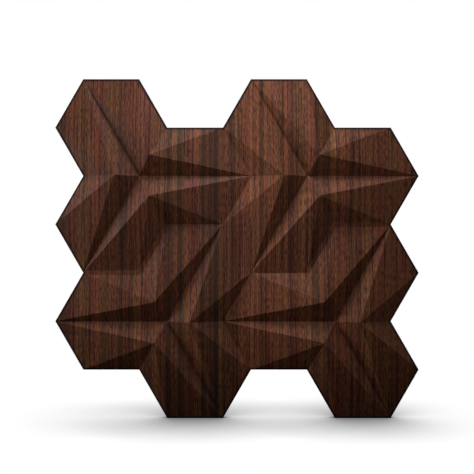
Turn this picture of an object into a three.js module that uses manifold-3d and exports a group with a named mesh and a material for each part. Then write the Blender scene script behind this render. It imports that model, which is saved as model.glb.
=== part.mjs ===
// Wall panel of hexagon cells, carved as one hardwood board with a faceted relief.
//
// Millimetres. +X is to the right, +Z is up and the front faces -Y. The flat back lies in the
// plane y = 0, and the origin is the centre of the back.
//
// The relief is made of stars. In a star three cells stand round one hub, and on each of the
// three seams that leave the hub is a peak. A groove runs from the hub across each cell to the
// cell's far corner, with a slope from the peaks down to it on either side. Each cell's other
// corners are at rim height, so the stars join edge to edge and the outline lies in one plane.

import * as THREE from 'three';
import { mergeVertices } from 'three/addons/utils/BufferGeometryUtils.js';
import Module from 'manifold-3d';

// Driving dimensions
const CELL_SIDE = 100; // side of one hexagon cell
const EDGE_DEPTH = 12; // board's depth at its outline, from the back to the rim
const PEAK_RISE = 20; // peak above the rim
const HUB_RISE = 4; // hub above the rim
const PEAK_SHARE = 0.416; // place of a peak on its seam, as a share of the side from the hub
const ARRIS = 0.9; // 45 degree chamfer round the front and back of the outline
const COLUMN_PAIRS = 2; // each pair of columns holds one upper and one lower star

// Sizes that follow
const CELL_HEIGHT = CELL_SIDE * Math.sqrt(3); // across the flats
const COLUMN_PITCH = CELL_SIDE * 1.5;
const FIRST_COLUMN = -COLUMN_PITCH * (COLUMN_PAIRS - 0.5); // x of the first column's centre line
const HUB_OFFSET = CELL_HEIGHT * 0.75; // hub's height above or below the panel's centre
const SURROUND = 10; // how far the carving block runs past the outline and the back
const ROOF_RISE = PEAK_RISE + 2 * ARRIS; // height of the blank's sloping top
const WELD = 1e-3; // points closer than this are one point

const woodMaterial = new THREE.MeshStandardMaterial({
  color: 0x4a2c22,
  roughness: 0.5,
  metalness: 0,
  flatShading: true,
});

/** A point of the panel: x to the right, z up, rise in front of the rim plane. */
function panelPoint(x, z, rise) {
  return new THREE.Vector3(x, -EDGE_DEPTH - rise, z);
}

/** The point at a distance and an angle (degrees, anticlockwise from +X) from a hub. */
function polarPoint(hub, distance, degrees, rise) {
  const angle = THREE.MathUtils.degToRad(degrees);
  return panelPoint(hub.x + distance * Math.cos(angle), hub.z + distance * Math.sin(angle), rise);
}

/** The hubs of all the stars, each with the angle of its first cell. */
function starPlaces() {
  const places = [];
  for (let pair = 0; pair < COLUMN_PAIRS; pair += 1) {
    const column = FIRST_COLUMN + 2 * pair * COLUMN_PITCH;
    places.push({ x: column + CELL_SIDE / 2, z: HUB_OFFSET, turn: 0 });
    places.push({ x: column + CELL_SIDE, z: -HUB_OFFSET, turn: 60 });
  }
  return places;
}

/** The six facets of the cell that lies from the hub in one direction. */
function cellFacets(hub, direction) {
  const centre = polarPoint(hub, CELL_SIDE, direction, 0);
  const corner = (side) => polarPoint(centre, CELL_SIDE, direction + side, 0);
  const peak = (side) => polarPoint(hub, CELL_SIDE * PEAK_SHARE, direction + side, PEAK_RISE);
  const start = panelPoint(hub.x, hub.z, HUB_RISE);
  const end = corner(0);
  const left = peak(60);
  const right = peak(-60);
  return [
    [left, corner(60), corner(120)],
    [left, end, corner(60)],
    [start, end, left],
    [start, right, end],
    [right, corner(-60), end],
    [right, corner(-120), corner(-60)],
  ];
}

/** All facets of the relief, as triangles of points. */
function reliefFacets() {
  const facets = [];
  for (const hub of starPlaces()) {
    for (const third of [0, 120, 240]) {
      facets.push(...cellFacets(hub, hub.turn + third));
    }
  }
  return facets;
}

/** A text that is the same for points that are one point. */
function pointKey(point) {
  return [point.x, point.y, point.z].map((value) => Math.round(value / WELD)).join(' ');
}

/** The relief's outline as one loop of points, followed along the edges that only one facet has. */
function outlineLoop(facets) {
  const edges = new Map();
  for (const facet of facets) {
    facet.forEach((start, index) => {
      const end = facet[(index + 1) % 3];
      edges.set(`${pointKey(start)} > ${pointKey(end)}`, { start, end });
    });
  }
  const next = new Map();
  for (const { start, end } of edges.values()) {
    if (!edges.has(`${pointKey(end)} > ${pointKey(start)}`)) {
      next.set(pointKey(start), end);
    }
  }
  const loop = [next.values().next().value];
  while (loop.length < next.size) {
    loop.push(next.get(pointKey(loop.at(-1))));
  }
  return loop;
}

/** The loop moved inwards by inset (outwards if negative), with its points at the given depth. */
function insetLoop(loop, inset, y) {
  return loop.map((point, index) => {
    const before = loop.at(index - 1);
    const after = loop[(index + 1) % loop.length];
    const arrive = new THREE.Vector2(point.x - before.x, point.z - before.z).normalize();
    const leave = new THREE.Vector2(after.x - point.x, after.z - point.z).normalize();
    const inwards = new THREE.Vector2(-arrive.y - leave.y, arrive.x + leave.x).normalize();
    const reach = inset / (inwards.y * leave.x - inwards.x * leave.y);
    return new THREE.Vector3(point.x + inwards.x * reach, y, point.z + inwards.y * reach);
  });
}

/** The two triangles between an edge of one loop and the same edge of the loop in front of it. */
function wallTriangles(behind, front, index) {
  const following = (index + 1) % behind.length;
  return [
    [behind[index], behind[following], front[following]],
    [behind[index], front[following], front[index]],
  ];
}

/** The walls that join a stack of loops, given from the back to the front. */
function stackWalls(loops) {
  const triangles = [];
  for (let level = 1; level < loops.length; level += 1) {
    for (let index = 0; index < loops[level].length; index += 1) {
      triangles.push(...wallTriangles(loops[level - 1], loops[level], index));
    }
  }
  return triangles;
}

/** The flat face that fills a loop, turned to the front or to the back. */
function capTriangles(loop, facesFront) {
  const flat = loop.map((point) => new THREE.Vector2(point.x, point.z));
  return THREE.ShapeUtils.triangulateShape(flat, []).map(([a, b, c]) =>
    facesFront ? [loop[a], loop[b], loop[c]] : [loop[a], loop[c], loop[b]],
  );
}

/** A geometry with only positions, its equal points merged, from triangles of points. */
function weldedGeometry(triangles) {
  const geometry = new THREE.BufferGeometry().setFromPoints(triangles.flat());
  return mergeVertices(geometry, WELD);
}

/** The blank: the outline at full depth, chamfered behind and roofed at 45 degrees in front. */
function blankGeometry(loop) {
  const loops = [
    insetLoop(loop, ARRIS, 0),
    insetLoop(loop, 0, -ARRIS),
    insetLoop(loop, 0, ARRIS - EDGE_DEPTH),
    insetLoop(loop, ROOF_RISE, ARRIS - EDGE_DEPTH - ROOF_RISE),
  ];
  return weldedGeometry([
    ...capTriangles(loops[0], false),
    ...stackWalls(loops),
    ...capTriangles(loops.at(-1), true),
  ]);
}

/** The block under the carving: the relief in front, with a flat surround past the outline. */
function carvingGeometry(facets, loop) {
  const surround = insetLoop(loop, -SURROUND, -EDGE_DEPTH);
  const behind = insetLoop(loop, -SURROUND, SURROUND);
  return weldedGeometry([
    ...facets,
    ...stackWalls([behind, surround, loop]),
    ...capTriangles(behind, false),
  ]);
}

const wasm = await Module();
wasm.setup();

/** A closed geometry as a solid. */
function toSolid(geometry) {
  return new wasm.Manifold(
    new wasm.Mesh({
      numProp: 3,
      vertProperties: geometry.getAttribute('position').array,
      triVerts: new Uint32Array(geometry.getIndex().array),
    }),
  );
}

/** A solid as a geometry. */
function toGeometry(solid) {
  const mesh = solid.getMesh();
  const geometry = new THREE.BufferGeometry();
  geometry.setAttribute('position', new THREE.BufferAttribute(mesh.vertProperties, 3));
  geometry.setIndex(new THREE.BufferAttribute(mesh.triVerts, 1));
  return geometry;
}

/** The whole board: the blank, carved down to the relief. */
function carvedPanel() {
  const facets = reliefFacets();
  const loop = outlineLoop(facets);
  const board = toSolid(blankGeometry(loop)).intersect(toSolid(carvingGeometry(facets, loop)));
  const panel = new THREE.Mesh(toGeometry(board), woodMaterial);
  panel.name = 'carved_panel';
  return panel;
}

const group = new THREE.Group();
group.add(carvedPanel());

export default group;
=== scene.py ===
"""Looks of a carved hexagon wall panel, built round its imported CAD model.

The panel is one board of dark, straight-grained hardwood. Its front is carved into a faceted
relief of three-cell stars, its outline follows the hexagon cells and its back is flat.

Every length is in metres, in the frame of the CAD model: +X to the right, +Z up, and the
carved front faces -Y.
"""

import logging
import math
from dataclasses import dataclass, field
from enum import Enum

import bmesh
import bpy
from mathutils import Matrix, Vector


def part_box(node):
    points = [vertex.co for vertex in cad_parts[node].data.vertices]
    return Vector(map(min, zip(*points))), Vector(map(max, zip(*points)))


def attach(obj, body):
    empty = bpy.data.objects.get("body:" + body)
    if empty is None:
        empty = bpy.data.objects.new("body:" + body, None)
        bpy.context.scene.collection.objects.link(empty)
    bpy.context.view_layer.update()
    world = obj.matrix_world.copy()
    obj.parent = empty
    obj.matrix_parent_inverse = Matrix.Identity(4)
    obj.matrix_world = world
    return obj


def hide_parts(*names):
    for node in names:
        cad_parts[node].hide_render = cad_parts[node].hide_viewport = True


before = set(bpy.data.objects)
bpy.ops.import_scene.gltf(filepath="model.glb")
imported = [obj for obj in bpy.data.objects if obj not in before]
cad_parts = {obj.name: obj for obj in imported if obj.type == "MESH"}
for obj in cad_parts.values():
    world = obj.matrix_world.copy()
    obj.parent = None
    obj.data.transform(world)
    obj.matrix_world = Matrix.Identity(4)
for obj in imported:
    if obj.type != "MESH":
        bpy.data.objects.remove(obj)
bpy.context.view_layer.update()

MM = 0.001
WELD = 0.01 * MM  # points closer than this are one point
SLIVER = 0.005 * MM  # edges shorter than this are taken away
SAME_DIRECTION = 0.01  # two normals that differ by less than this are the same
RIM = "rim"  # the mesh attribute that says how near a point is to the outline
FRONT_SLOPE = -0.3  # below this, a face's normal.y puts it in front; above minus this, behind
LOG = logging.getLogger("carved_panel")


class Socket(Enum):
    """Names of the shader sockets that are set by hand."""

    BASE_COLOR = "Base Color"
    ROUGHNESS = "Roughness"
    GLOSS = "Specular IOR Level"
    NORMAL = "Normal"


def linear_color(hex_color: str) -> tuple[float, float, float, float]:
    """Turns an sRGB hex colour into linear values.

    Args:
        hex_color: Six hex digits after a number sign.

    Returns:
        Red, green, blue and an alpha of 1, linear.
    """
    channels = [int(hex_color[i : i + 2], 16) / 255 for i in (1, 3, 5)]
    linear = [c / 12.92 if c <= 0.04045 else ((c + 0.055) / 1.055) ** 2.4 for c in channels]
    return (*linear, 1.0)


def add_node(
    tree: bpy.types.NodeTree,
    kind: str,
    settings: dict | None = None,
    **inputs: object,
) -> bpy.types.Node:
    """Adds one node, with its settings and its inputs.

    Args:
        tree: The node tree that gets the node.
        kind: The node's type, without the leading "ShaderNode".
        settings: Properties of the node, by name.
        **inputs: Each input's value, or the output socket that is linked to it. The key is the
            socket's name with _ for a space, or i and the socket's number.

    Returns:
        The new node.
    """
    node = tree.nodes.new("ShaderNode" + kind)
    for name, value in (settings or {}).items():
        setattr(node, name, value)
    for name, value in inputs.items():
        numbered = name[0] == "i" and name[1:].isdigit()
        socket = node.inputs[int(name[1:]) if numbered else name.replace("_", " ")]
        if isinstance(value, bpy.types.NodeSocket):
            tree.links.new(value, socket)
        else:
            socket.default_value = value
    return node


@dataclass(frozen=True)
class Band:
    """One band of the grain that runs up the board, darker or paler than the rest.

    Attributes:
        x: Place of its centre line.
        half_width: From the centre line to where it has faded out.
        strength: How strongly it shows on its centre line, from 0 to 1.
    """

    x: float
    half_width: float
    strength: float


@dataclass(frozen=True)
class WallLine:
    """One straight piece of the outline, seen from the front.

    Attributes:
        start: Its one end, as x and z.
        end: Its other end, as x and z.
        outwards: The direction out of the board.
    """

    start: Vector
    end: Vector
    outwards: Vector

    def distance(self, point: Vector) -> float:
        """How far a point of the board is from this line, seen from the front.

        Args:
            point: The point.

        Returns:
            The distance to the nearest point of the line.
        """
        flat = Vector((point.x, point.z))
        along = self.end - self.start
        share = min(1.0, max(0.0, (flat - self.start).dot(along) / along.length_squared))
        return (flat - self.start - along * share).length


@dataclass(frozen=True)
class Valley:
    """One straight hollow where two stars meet.

    Attributes:
        start: Its one end.
        end: Its other end.
        sides: The normals of its two slopes.
    """

    start: Vector
    end: Vector
    sides: tuple[Vector, Vector]

    def holds(self, point: Vector) -> bool:
        """Whether a point lies on the valley's bottom line.

        Args:
            point: The point.

        Returns:
            True if it does.
        """
        along = self.end - self.start
        share = min(1.0, max(0.0, (point - self.start).dot(along) / along.length_squared))
        return (point - self.start - along * share).length < 2 * WELD

    def borders(self, face: bmesh.types.BMFace) -> bool:
        """Whether a face is part of one of the valley's slopes and reaches its bottom line."""
        slopes = any((face.normal - side).length < SAME_DIRECTION for side in self.sides)
        return slopes and sum(self.holds(v.co) for v in face.verts) >= 2


@dataclass(frozen=True)
class OiledHardwood:
    """Dark, straight-grained hardwood, quarter-sawn, cut by machine, sanded and oiled.

    The growth rings stand at right angles to the face, so they show as upright lines that keep
    their place across every facet and run through the board's depth at its edges. Open pores
    show as fine near-black dashes. The oil has dried to a low satin. The grooves and the foot
    carry painted shade, and a band round the outline is darker.
    """

    name: str = "oiled_dark_hardwood"
    late_wood: str = "#21120b"  # the dark side of each ring: near-black brown
    heart_wood: str = "#683927"  # what the board is mostly seen as: reddish brown
    early_wood: str = "#9c613b"  # the soft, light side of a ring: warm tan
    streak_wood: str = "#35241b"  # mineral streaks: greyer than the rings
    pore: str = "#120a06"  # open pores: near black
    roughness: float = 0.6  # oil that has dried in typically has 0.5 to 0.7
    gloss: float = 0.25  # bare fibres between the pores break up half of the surface gloss
    ring_pitch: float = 7.0 * MM
    ring_length: float = 900 * MM  # how far up the board a ring keeps its tone
    ring_share: float = 0.4  # weight in the tone
    fibre_pitch: float = 0.95 * MM
    fibre_length: float = 11 * MM
    fibre_share: float = 1.15
    line_pitch: float = 3.4 * MM  # late-wood lines then come every 2 to 4 mm
    line_length: float = 420 * MM
    line_half_width: float = 0.08  # of the noise's range; about 0.5 mm, drawn wide, to be seen
    line_share: float = 0.5
    pore_width: float = 0.9 * MM  # a real pore is about 0.3 mm; drawn wider, so that it shows
    pore_length: float = 12 * MM
    pore_share: float = 0.7
    pore_range: tuple[float, float] = (0.6, 0.7)  # of the noise: where a pore starts and is full
    pore_depth: float = 0.06 * MM  # from the bottom of a pore to the top of the wood
    pore_openness: float = 0.5  # share of that depth that the oil leaves open
    hue_pitch: float = 22 * MM  # the heart's red and the sapwood side's olive come in bands
    hue_length: float = 700 * MM
    hue_swing: float = 0.024  # of the colour circle, between the reddest and the most olive band
    hue_range: tuple[float, float] = (0.25, 0.75)  # of the noise: the part that it mostly takes
    waver: float = 0.8 * MM  # how far a ring strays sideways
    waver_length: float = 300 * MM
    # Painted shade in the grooves: the less open the view out of a point, the darker it is.
    groove_shade_reach: float = 16 * MM  # how far up its sides a groove carries painted shade
    groove_painted_shade: float = 0.3
    groove_shade_open: float = 0.75  # open share of the view out of a groove where it is darkest
    groove_shade_samples: int = 8  # rays that measure that share
    # A band round the outline is darker in colour.
    rim_dark: float = 0.85
    rim_roughness: float = 0.95  # the sawn outline is left unsanded, and dull
    rim_ramp: tuple[float, float] = (0.15, 0.6)  # from 0 at the rim's inside to 1 at the wall
    foot_painted_shade: float = 0.42  # painted shade, darkest at the foot and fading upwards
    foot_shade_height: float = 125 * MM
    streaks: tuple[Band, ...] = (
        Band(-310 * MM, 14 * MM, 0.55),
        Band(-232 * MM, 9 * MM, 0.35),
        Band(-206 * MM, 8 * MM, 0.5),
        Band(-192 * MM, 5 * MM, 0.25),
        Band(-156 * MM, 4 * MM, 0.4),
        Band(-141 * MM, 5 * MM, 0.15),
        Band(-121 * MM, 8 * MM, 0.65),
        Band(-101 * MM, 7 * MM, 0.7),
        Band(-88 * MM, 4 * MM, 0.15),
        Band(-60 * MM, 6 * MM, 0.7),
        Band(-48 * MM, 4 * MM, 0.7),
        Band(-37 * MM, 7 * MM, 0.85),
        Band(-8 * MM, 7 * MM, 0.55),
        Band(43 * MM, 5 * MM, 0.55),
        Band(98 * MM, 6 * MM, 0.5),
        Band(141 * MM, 6 * MM, 0.5),
        Band(154 * MM, 4 * MM, 0.35),
        Band(162 * MM, 4 * MM, 0.45),
        Band(203 * MM, 5 * MM, 0.4),
        Band(217 * MM, 4 * MM, 0.4),
        Band(253 * MM, 6 * MM, 0.15),
        Band(275 * MM, 7 * MM, 0.15),
        Band(316 * MM, 8 * MM, 0.55),
    )
    pale_bands: tuple[Band, ...] = (
        Band(-287 * MM, 7 * MM, 0.1),
        Band(-273 * MM, 6 * MM, 0.1),
        Band(-256 * MM, 9 * MM, 0.18),
        Band(-172 * MM, 14 * MM, 0.12),
        Band(-76 * MM, 9 * MM, 0.22),
        Band(8 * MM, 7 * MM, 0.3),
        Band(30 * MM, 14 * MM, 0.3),
        Band(61 * MM, 12 * MM, 0.34),
        Band(88 * MM, 10 * MM, 0.12),
        Band(124 * MM, 16 * MM, 0.24),
        Band(173 * MM, 8 * MM, 0.35),
        Band(190 * MM, 7 * MM, 0.3),
        Band(226 * MM, 9 * MM, 0.28),
        Band(297 * MM, 8 * MM, 0.1),
    )

    def material(self, low: Vector, high: Vector) -> bpy.types.Material:
        """Makes the material.

        Args:
            low: The board's lowest corner.
            high: The board's highest corner.

        Returns:
            The finished material.
        """
        material = bpy.data.materials.new(self.name)
        material.use_nodes = True
        tree = material.node_tree
        place = self._place(tree)
        tone = self._tone(tree, place)
        pores = self._pores(tree, place)
        wood = self._wood(tree, place, tone, pores, high.x - low.x)
        surface = tree.nodes["Principled BSDF"]
        # Painted shade in the grooves and at the foot, and a darker band round the outline.
        darkened = self._darkened(tree, place, wood, low.z)
        tree.links.new(darkened, surface.inputs[Socket.BASE_COLOR.value])
        surface.inputs[Socket.GLOSS.value].default_value = self.gloss
        rim = add_node(tree, "Attribute", {"attribute_name": RIM})
        roughness = add_node(
            tree,
            "MapRange",
            None,
            Value=rim.outputs["Fac"],
            From_Min=self.rim_ramp[0],
            From_Max=self.rim_ramp[1],
            To_Min=self.roughness,
            To_Max=self.rim_roughness,
        )
        tree.links.new(roughness.outputs[0], surface.inputs[Socket.ROUGHNESS.value])
        height = add_node(tree, "Math", {"operation": "SUBTRACT"}, i0=tone, i1=pores)
        relief = add_node(
            tree,
            "Bump",
            None,
            Strength=self.pore_openness,
            Distance=self.pore_depth,
            Height=height.outputs[0],
        )
        tree.links.new(relief.outputs[0], surface.inputs[Socket.NORMAL.value])
        return material

    def _place(self, tree: bpy.types.NodeTree) -> bpy.types.NodeSocket:
        """Gives each point's place on the board's face as across, along, with the slight waver.

        Args:
            tree: The material's node tree.

        Returns:
            The place, as a vector of across and along.
        """
        where = add_node(tree, "TexCoord")
        axes = add_node(tree, "SeparateXYZ", None, Vector=where.outputs["Object"])
        flat = add_node(tree, "CombineXYZ", None, X=axes.outputs["X"], Y=axes.outputs["Z"])
        sway = self._grain(tree, flat.outputs[0], self.waver_length, self.waver_length)
        shift = add_node(
            tree, "MapRange", None, Value=sway, To_Min=-self.waver, To_Max=self.waver
        )
        offset = add_node(tree, "CombineXYZ", None, X=shift.outputs[0])
        placed = add_node(
            tree, "VectorMath", {"operation": "ADD"}, i0=flat.outputs[0], i1=offset.outputs[0]
        )
        return placed.outputs[0]

    def _grain(
        self, tree: bpy.types.NodeTree, place: bpy.types.NodeSocket, pitch: float, length: float
    ) -> bpy.types.NodeSocket:
        """Draws noise that is the same all through the board's depth.

        Args:
            tree: The material's node tree.
            place: Each point's place on the board.
            pitch: Size of the pattern across the grain.
            length: Size of the pattern along the grain.

        Returns:
            The noise, from 0 to 1.
        """
        scaled = add_node(tree, "Mapping", None, Vector=place, Scale=(1 / pitch, 1 / length, 1))
        noise = add_node(
            tree,
            "TexNoise",
            {"noise_dimensions": "2D"},
            Vector=scaled.outputs[0],
            Scale=1.0,
            Detail=1.0,
        )
        return noise.outputs[0]

    def _tone(
        self, tree: bpy.types.NodeTree, place: bpy.types.NodeSocket
    ) -> bpy.types.NodeSocket:
        """Adds up rings, fibres and late-wood lines into one tone, from 0, dark, to 1, light.

        Args:
            tree: The material's node tree.
            place: Each point's place on the board.

        Returns:
            The tone.
        """
        # The lines take about a third of their share off the mean, which is given back here.
        total: bpy.types.NodeSocket | float = 0.5 + self.line_share / 3
        for share, pitch, length in (
            (self.ring_share, self.ring_pitch, self.ring_length),
            (self.fibre_share, self.fibre_pitch, self.fibre_length),
        ):
            noise = self._grain(tree, place, pitch, length)
            centred = add_node(tree, "Math", {"operation": "SUBTRACT"}, i0=noise, i1=0.5)
            added = add_node(
                tree,
                "Math",
                {"operation": "MULTIPLY_ADD"},
                i0=centred.outputs[0],
                i1=share,
                i2=total,
            )
            total = added.outputs[0]
        toned = add_node(
            tree,
            "Math",
            {"operation": "MULTIPLY_ADD"},
            i0=self._lines(tree, place),
            i1=-self.line_share,
            i2=total,
        )
        return toned.outputs[0]

    def _lines(
        self, tree: bpy.types.NodeTree, place: bpy.types.NodeSocket
    ) -> bpy.types.NodeSocket:
        """Draws thin upright lines where a stretched noise crosses its middle, 1 on a line.

        Args:
            tree: The material's node tree.
            place: Each point's place on the board.

        Returns:
            The lines, from 0 to 1.
        """
        noise = self._grain(tree, place, self.line_pitch, self.line_length)
        centred = add_node(tree, "Math", {"operation": "SUBTRACT"}, i0=noise, i1=0.5)
        away = add_node(tree, "Math", {"operation": "ABSOLUTE"}, i0=centred.outputs[0])
        lines = add_node(
            tree,
            "MapRange",
            None,
            Value=away.outputs[0],
            From_Max=self.line_half_width,
            To_Min=1.0,
            To_Max=0.0,
        )
        return lines.outputs[0]

    def _pores(
        self, tree: bpy.types.NodeTree, place: bpy.types.NodeSocket
    ) -> bpy.types.NodeSocket:
        """Draws the open pores as fine upright dashes, 1 in a pore and 0 outside.

        Args:
            tree: The material's node tree.
            place: Each point's place on the board.

        Returns:
            The pores, from 0 to their share in the colour.
        """
        noise = self._grain(tree, place, self.pore_width, self.pore_length)
        pores = add_node(
            tree,
            "MapRange",
            None,
            Value=noise,
            From_Min=self.pore_range[0],
            From_Max=self.pore_range[1],
            To_Max=self.pore_share,
        )
        return pores.outputs[0]

    def _bands(
        self,
        tree: bpy.types.NodeTree,
        place: bpy.types.NodeSocket,
        width: float,
        bands: tuple[Band, ...],
    ) -> bpy.types.NodeSocket:
        """Draws upright bands as points of a curve across the board.

        Args:
            tree: The material's node tree.
            place: Each point's place on the board.
            width: Width of the board.
            bands: The bands, which do not overlap.

        Returns:
            Each band's strength on its centre line, and 0 between the bands.
        """
        across = add_node(tree, "SeparateXYZ", None, Vector=place)
        share = add_node(
            tree,
            "MapRange",
            None,
            Value=across.outputs["X"],
            From_Min=-width / 2,
            From_Max=width / 2,
        )
        curve = add_node(tree, "FloatCurve", None, Value=share.outputs[0])
        points = curve.mapping.curves[0].points
        points[0].location = (0, 0)
        points[1].location = (1, 0)
        for band in bands:
            middle = band.x / width + 0.5
            reach = band.half_width / width
            points.new(middle - reach, 0)
            points.new(middle, band.strength)
            points.new(middle + reach, 0)
        curve.mapping.update()
        return curve.outputs[0]

    def _wood(
        self,
        tree: bpy.types.NodeTree,
        place: bpy.types.NodeSocket,
        tone: bpy.types.NodeSocket,
        pores: bpy.types.NodeSocket,
        width: float,
    ) -> bpy.types.NodeSocket:
        """Turns tone, streaks and pores into the bare wood's colour.

        Args:
            tree: The material's node tree.
            place: Each point's place on the board.
            tone: The tone of the grain, from 0, dark, to 1, light.
            pores: The pores, from 0 to their share in the colour.
            width: Width of the board.

        Returns:
            The bare wood's colour.
        """
        ramp = add_node(tree, "ValToRGB", None, Fac=tone)
        stops = ramp.color_ramp.elements
        stops[0].color = linear_color(self.late_wood)
        stops[1].color = linear_color(self.early_wood)
        stops.new(0.5).color = linear_color(self.heart_wood)
        hue = add_node(
            tree,
            "MapRange",
            None,
            Value=self._grain(tree, place, self.hue_pitch, self.hue_length),
            From_Min=self.hue_range[0],
            From_Max=self.hue_range[1],
            To_Min=0.5 - self.hue_swing / 2,
            To_Max=0.5 + self.hue_swing / 2,
        )
        tinted = add_node(tree, "HueSaturation", None, Hue=hue.outputs[0], Color=ramp.outputs[0])
        streaked = add_node(
            tree,
            "Mix",
            {"data_type": "RGBA"},
            i0=self._bands(tree, place, width, self.streaks),
            i6=tinted.outputs[0],
            i7=linear_color(self.streak_wood),
        )
        pored = add_node(
            tree,
            "Mix",
            {"data_type": "RGBA"},
            i0=pores,
            i6=streaked.outputs[2],
            i7=linear_color(self.pore),
        )
        paler = self._bands(tree, place, width, self.pale_bands)
        gain = add_node(tree, "Math", {"operation": "ADD"}, i0=paler, i1=1.0)
        banded = add_node(
            tree, "VectorMath", {"operation": "SCALE"}, i0=pored.outputs[2], Scale=gain.outputs[0]
        )
        return banded.outputs[0]

    def _darkened(
        self,
        tree: bpy.types.NodeTree,
        place: bpy.types.NodeSocket,
        wood: bpy.types.NodeSocket,
        foot: float,
    ) -> bpy.types.NodeSocket:
        """Darkens the wood: painted shade in the grooves and at the foot, and a darker band round
        the outline.

        Args:
            tree: The material's node tree.
            place: Each point's place on the board.
            wood: The bare wood's colour.
            foot: Height of the board's lower end.

        Returns:
            The darkened colour.
        """
        # Painted shade: the grooves are darkened by how little of the view out of them is open.
        open_share = add_node(
            tree,
            "AmbientOcclusion",
            {"only_local": True, "samples": self.groove_shade_samples},
            Distance=self.groove_shade_reach,
        )
        rim = add_node(tree, "Attribute", {"attribute_name": RIM})
        along = add_node(tree, "SeparateXYZ", None, Vector=place)
        shades = (
            (
                "LINEAR",
                open_share.outputs["AO"],
                self.groove_shade_open,
                1.0,
                1 - self.groove_painted_shade,
                1.0,
            ),
            # A darker band round the outline.
            ("SMOOTHSTEP", rim.outputs["Fac"], *self.rim_ramp, 1.0, 1 - self.rim_dark),
            # Painted shade, darker towards the board's foot near the floor.
            (
                "LINEAR",
                along.outputs["Y"],
                foot,
                foot + self.foot_shade_height,
                1 - self.foot_painted_shade,
                1.0,
            ),
        )
        darkened = wood
        for curve, value, start, end, first, last in shades:
            shade = add_node(
                tree,
                "MapRange",
                {"interpolation_type": curve},
                Value=value,
                From_Min=start,
                From_Max=end,
                To_Min=first,
                To_Max=last,
            )
            scaled = add_node(
                tree, "VectorMath", {"operation": "SCALE"}, i0=darkened, Scale=shade.outputs[0]
            )
            darkened = scaled.outputs[0]
        return darkened


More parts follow.
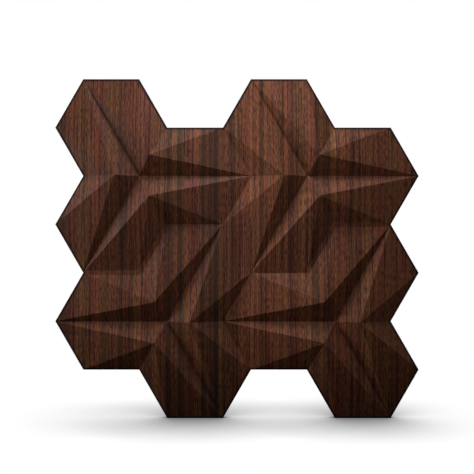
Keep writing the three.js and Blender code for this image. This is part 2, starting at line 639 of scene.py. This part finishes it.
@dataclass
class CarvedPanel:
    """The one board: faceted front, stepped outline and flat back.

    Attributes:
        node: Name of the CAD node that the board's shape comes from.
        finish: The wood.
        ease: How far each ridge is rounded over by sanding.
        ease_steps: Faces across one eased ridge.
        shortest_ridge: Edges shorter than this are left as they are.
        valley: How far up its sides each valley between two stars looks like a flat band.
        flat_angle: Faces that meet at less than this are one face.
        relief_depth: From the peaks back to the rim, where the stars meet.
        rim_width: How far the darker band runs in from the outline.
        wall_darkening: How much of the rim's darkening the walls have.
    """

    node: str = "carved_panel"
    finish: OiledHardwood = field(default_factory=OiledHardwood)
    ease: float = 0.6 * MM
    ease_steps: int = 3
    shortest_ridge: float = 5 * MM
    valley: float = 4.5 * MM
    flat_angle: float = math.radians(1.0)
    relief_depth: float = 20 * MM
    rim_width: float = 6.0 * MM
    wall_darkening: float = 0.35

    def build(self) -> bpy.types.Object:
        """Makes the board from the CAD node's faces, eases its ridges and dresses it.

        Returns:
            The finished piece, riding on the root body.
        """
        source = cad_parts[self.node]
        mesh = bpy.data.meshes.new("carved_panel_board")
        shape = bmesh.new()
        shape.from_mesh(source.data)
        self._merge_faces(shape)
        walls = self._wall_lines(shape)
        valleys = self._valleys(shape)
        self._cut_valleys(shape, valleys)
        self._cut_rim(shape, walls)
        self._ease(shape)
        self._mark_rim(shape, walls)
        normals = self._normals(shape, valleys)
        shape.to_mesh(mesh)
        shape.free()
        mesh.polygons.foreach_set("use_smooth", [True] * len(mesh.polygons))
        mesh.normals_split_custom_set(normals)
        board = bpy.data.objects.new("carved_panel_board", mesh)
        bpy.context.scene.collection.objects.link(board)
        low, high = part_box(self.node)
        mesh.materials.append(self.finish.material(low, high))
        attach(board, "root")
        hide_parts(self.node)
        LOG.info("board: %d faces", len(mesh.polygons))
        return board

    def _merge_faces(self, shape: bmesh.types.BMesh) -> None:
        """Welds the CAD triangles and joins those that lie in one plane.

        Args:
            shape: The board.
        """
        bmesh.ops.remove_doubles(shape, verts=shape.verts, dist=WELD)
        bmesh.ops.dissolve_limit(
            shape, angle_limit=self.flat_angle, verts=shape.verts, edges=shape.edges
        )

    def _wall_lines(self, shape: bmesh.types.BMesh) -> list[WallLine]:
        """Finds the outline as one line per wall, seen from the front.

        Args:
            shape: The board.

        Returns:
            The lines.
        """
        lines = []
        for face in shape.faces:
            if abs(face.normal.y) < SAME_DIRECTION:
                ends = sorted(((v.co.x, v.co.z) for v in face.verts))
                outwards = Vector((face.normal.x, 0, face.normal.z))
                lines.append(WallLine(Vector(ends[0]), Vector(ends[-1]), outwards))
        return lines

    def _cut_rim(self, shape: bmesh.types.BMesh, walls: list[WallLine]) -> None:
        """Cuts the front along a line beside each wall, where the darker band round the outline
        ends.

        Args:
            shape: The board.
            walls: Its outline.
        """
        for wall in walls:
            beside = [
                face
                for face in shape.faces
                if face.normal.y < FRONT_SLOPE
                and any(wall.distance(v.co) < self.rim_width - WELD for v in face.verts)
            ]
            geometry = set(beside)
            for face in beside:
                geometry.update(face.edges)
                geometry.update(face.verts)
            bmesh.ops.bisect_plane(
                shape,
                geom=list(geometry),
                plane_co=Vector((wall.start.x, 0, wall.start.y)) - wall.outwards * self.rim_width,
                plane_no=wall.outwards,
            )

    def _valleys(self, shape: bmesh.types.BMesh) -> list[Valley]:
        """Finds the hollow edges between the stars, which lie all along at rim height.

        Args:
            shape: The board.

        Returns:
            The valleys.
        """
        rim = min(v.co.y for v in shape.verts) + self.relief_depth
        valleys = []
        for edge in shape.edges:
            at_rim = all(abs(v.co.y - rim) < 10 * WELD for v in edge.verts)
            if at_rim and edge.calc_face_angle_signed(0) < -self.flat_angle:
                ends = [v.co.copy() for v in edge.verts]
                sides = tuple(face.normal.copy() for face in edge.link_faces)
                valleys.append(Valley(ends[0], ends[1], sides))
        return valleys

    def _cut_valleys(self, shape: bmesh.types.BMesh, valleys: list[Valley]) -> None:
        """Cuts a strip off each slope beside a valley, to be shaded as part of a flat band.

        Args:
            shape: The board.
            valleys: Its valleys.
        """
        for valley in valleys:
            along = valley.end - valley.start
            for face in [f for f in shape.faces if valley.borders(f)]:
                uphill = face.normal.cross(along).normalized()
                if uphill.dot(face.calc_center_median() - valley.start) < 0:
                    uphill.negate()
                bmesh.ops.bisect_plane(
                    shape,
                    geom=[face, *face.edges, *face.verts],
                    plane_co=valley.start + uphill * self.valley,
                    plane_no=uphill,
                )

    def _ease(self, shape: bmesh.types.BMesh) -> None:
        """Rounds the ridges of the front over; the outline has its arris already.

        Args:
            shape: The board.
        """
        ridges = [
            e
            for e in shape.edges
            if e.calc_face_angle_signed(0) > self.flat_angle
            and e.calc_length() > self.shortest_ridge
            and all(face.normal.y < FRONT_SLOPE for face in e.link_faces)
        ]
        bmesh.ops.bevel(
            shape,
            geom=ridges,
            offset=self.ease,
            segments=self.ease_steps,
            profile=0.5,
            affect="EDGES",
            clamp_overlap=True,
        )
        bmesh.ops.dissolve_degenerate(shape, edges=shape.edges, dist=SLIVER)

    def _normals(self, shape: bmesh.types.BMesh, valleys: list[Valley]) -> list[Vector]:
        """Gives each face corner its normal: the face's own, or in a valley both slopes' mean.

        Args:
            shape: The board.
            valleys: Its valleys.

        Returns:
            One normal for each face corner, in order.
        """
        shape.normal_update()
        normals = []
        for face in shape.faces:
            near = [valley.sides for valley in valleys if valley.borders(face)]
            mean = sum((left + right for left, right in near), Vector()) if near else face.normal
            normals.extend([mean.normalized()] * len(face.verts))
        return normals

    def _mark_rim(self, shape: bmesh.types.BMesh, walls: list[WallLine]) -> None:
        """Stores how strongly each face corner belongs to the darker, duller rim.

        On the front it is 1 at a wall and 0 from the rim's width on. The walls themselves have
        one value, and the back has none.

        Args:
            shape: The board.
            walls: Its outline.
        """
        shape.normal_update()
        layer = shape.loops.layers.float.new(RIM)
        for face in shape.faces:
            for loop in face.loops:
                if face.normal.y < FRONT_SLOPE:
                    distance = min(wall.distance(loop.vert.co) for wall in walls)
                    loop[layer] = max(0.0, 1.0 - distance / self.rim_width)
                else:
                    loop[layer] = self.wall_darkening if face.normal.y < -FRONT_SLOPE else 0.0


@dataclass(frozen=True)
class SoftLight:
    """One round soft light, aimed at the panel's centre.

    Attributes:
        name: What the light does.
        around: Where it stands round the panel, in degrees anticlockwise from the right.
        above: How far it stands out of the panel's plane, in degrees.
        distance: From the panel's centre.
        watts: Its power.
        radius: Its radius.
        spread: Its beam's full angle in degrees; a narrow one lights the panel's middle most.
    """

    name: str
    around: float
    above: float
    distance: float
    watts: float
    radius: float
    spread: float = 180.0

    def build(self, centre: Vector, receivers: bpy.types.Collection) -> None:
        """Makes the light.

        Args:
            centre: The point that it is aimed at.
            receivers: The objects that it lights.
        """
        data = bpy.data.lights.new(self.name, "AREA")
        data.shape = "DISK"
        data.size = 2 * self.radius
        data.energy = self.watts
        data.spread = math.radians(self.spread)
        light = bpy.data.objects.new(self.name, data)
        around, above = math.radians(self.around), math.radians(self.above)
        away = Vector(
            (
                math.cos(around) * math.cos(above),
                -math.sin(above),
                math.sin(around) * math.cos(above),
            )
        )
        light.location = centre + away * self.distance
        light.rotation_euler = (-away).to_track_quat("-Z", "Y").to_euler()
        light.light_linking.receiver_collection = receivers
        bpy.context.scene.collection.objects.link(light)


@dataclass
class Studio:
    """Plain white floor, soft light from above and the left, and the camera.

    Attributes:
        lens_mm: The camera's focal length.
        sensor_mm: Width of its sensor.
        camera_distance: From the rim of the carved front.
        camera_rise: Above the panel's centre.
        floor_size: Side of the square floor.
        floor_color: Colour of the floor where no painted shadow dims it.
        sky_for_panel: Strength of the sky's light on the panel; to look at, the sky is white.
        painted_shadow_reach: How far from the board the floor's painted shadow reaches.
        painted_shadow_power: How quickly that painted shadow deepens towards the board.
        painted_shadow_samples: Rays that measure how open a point of the floor is to the sky, for
            its painted shadow.
        lights: The lights on the panel.
    """

    lens_mm: float = 50.0
    sensor_mm: float = 36.0
    camera_distance: float = 1.1769
    camera_rise: float = 0.0208
    floor_size: float = 30.0
    floor_color: str = "#ffffff"
    sky_for_panel: float = 0.004
    painted_shadow_reach: float = 0.15
    painted_shadow_power: float = 2.0
    painted_shadow_samples: int = 32
    lights: tuple[SoftLight, ...] = (
        SoftLight("top_raking", 90, 12, 0.9, 4.33, 0.1),
        SoftLight("top_right", 60, 30, 0.9, 0.57, 0.1),
        SoftLight("top_left_pool", 105, 30, 0.9, 0.079, 0.1, 60),
        SoftLight("left_raking", 180, 10, 1.6, 2.65, 0.28),
        SoftLight("upper_left_pool", 165, 10, 1.6, 1.31, 0.26, 60),
        SoftLight("right_fill", 0, 45, 1.2, 0.34, 0.14),
        SoftLight("front_top_pool", 90, 65, 0.7, 0.161, 0.08, 90),
        SoftLight("back_fill", 60, -50, 1.6, 9.0, 0.3),
        SoftLight("back_side_fill", 0, -15, 1.6, 5.0, 0.3),
    )

    def build(self, board: bpy.types.Object) -> None:
        """Makes floor, sky, lights and camera round the board.

        Args:
            board: The finished board.
        """
        low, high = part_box(CarvedPanel.node)
        self._floor(low.z)
        self._sky()
        lit = bpy.data.collections.new("lit_panel")
        lit.objects.link(board)
        for light in self.lights:
            light.build((low + high) / 2, lit)
        self._camera(low)
        LOG.info("studio: %d soft lights on the panel", len(self.lights))

    def _floor(self, height: float) -> None:
        """Makes a white floor that glows evenly, with the board's shadow painted into that glow.

        Args:
            height: Height of the floor.
        """
        mesh = bpy.data.meshes.new("floor")
        half = self.floor_size / 2
        corners = [(x * half, y * half, 0) for x, y in ((-1, -1), (1, -1), (1, 1), (-1, 1))]
        mesh.from_pydata(corners, [], [(0, 1, 2, 3)])
        mesh.materials.append(self._floor_finish())
        floor = bpy.data.objects.new("floor", mesh)
        floor.location.z = height
        floor.visible_diffuse = False
        floor.visible_glossy = False
        bpy.context.scene.collection.objects.link(floor)

    def _floor_finish(self) -> bpy.types.Material:
        """Makes the floor's finish: an even white glow, dimmed by a painted shadow where the
        floor is less open to the sky.

        Returns:
            The finish.
        """
        material = bpy.data.materials.new("white_floor")
        material.use_nodes = True
        tree = material.node_tree
        # Painted shadow: the glow is dimmed by how closed in each point of the floor is.
        sky = add_node(
            tree,
            "AmbientOcclusion",
            {"samples": self.painted_shadow_samples},
            Distance=self.painted_shadow_reach,
        )
        light = add_node(
            tree, "Math", {"operation": "POWER"}, i0=sky.outputs["AO"], i1=self.painted_shadow_power
        )
        glow = add_node(
            tree,
            "Emission",
            None,
            Color=linear_color(self.floor_color),
            Strength=light.outputs[0],
        )
        tree.links.new(glow.outputs[0], tree.nodes["Material Output"].inputs["Surface"])
        return material

    def _sky(self) -> None:
        """Makes a sky that is white to look at and gives the panel little light."""
        world = bpy.data.worlds.new("white_studio")
        bpy.context.scene.world = world
        world.use_nodes = True
        tree = world.node_tree
        path = add_node(tree, "LightPath")
        strength = add_node(
            tree,
            "MapRange",
            None,
            Value=path.outputs["Is Camera Ray"],
            To_Min=self.sky_for_panel,
            To_Max=1.0,
        )
        sky = tree.nodes["Background"]
        sky.inputs["Color"].default_value = (1, 1, 1, 1)
        tree.links.new(strength.outputs[0], sky.inputs["Strength"])

    def _camera(self, low: Vector) -> None:
        """Makes the camera, level and straight in front of the panel.

        Args:
            low: The panel's lowest corner.
        """
        data = bpy.data.cameras.new("camera")
        data.lens = self.lens_mm
        data.sensor_width = self.sensor_mm
        camera = bpy.data.objects.new("camera", data)
        rim = low.y + CarvedPanel.relief_depth
        camera.location = (0, rim - self.camera_distance, self.camera_rise)
        camera.rotation_euler = (math.pi / 2, 0, 0)
        bpy.context.scene.collection.objects.link(camera)
        bpy.context.scene.camera = camera


def main() -> None:
    """Builds the panel and the studio round it, in order."""
    logging.basicConfig(level=logging.INFO, format="%(name)s: %(message)s")
    board = CarvedPanel().build()
    Studio().build(board)
    bpy.context.scene.view_settings.view_transform = "Standard"


if __name__ == "__main__":
    main()
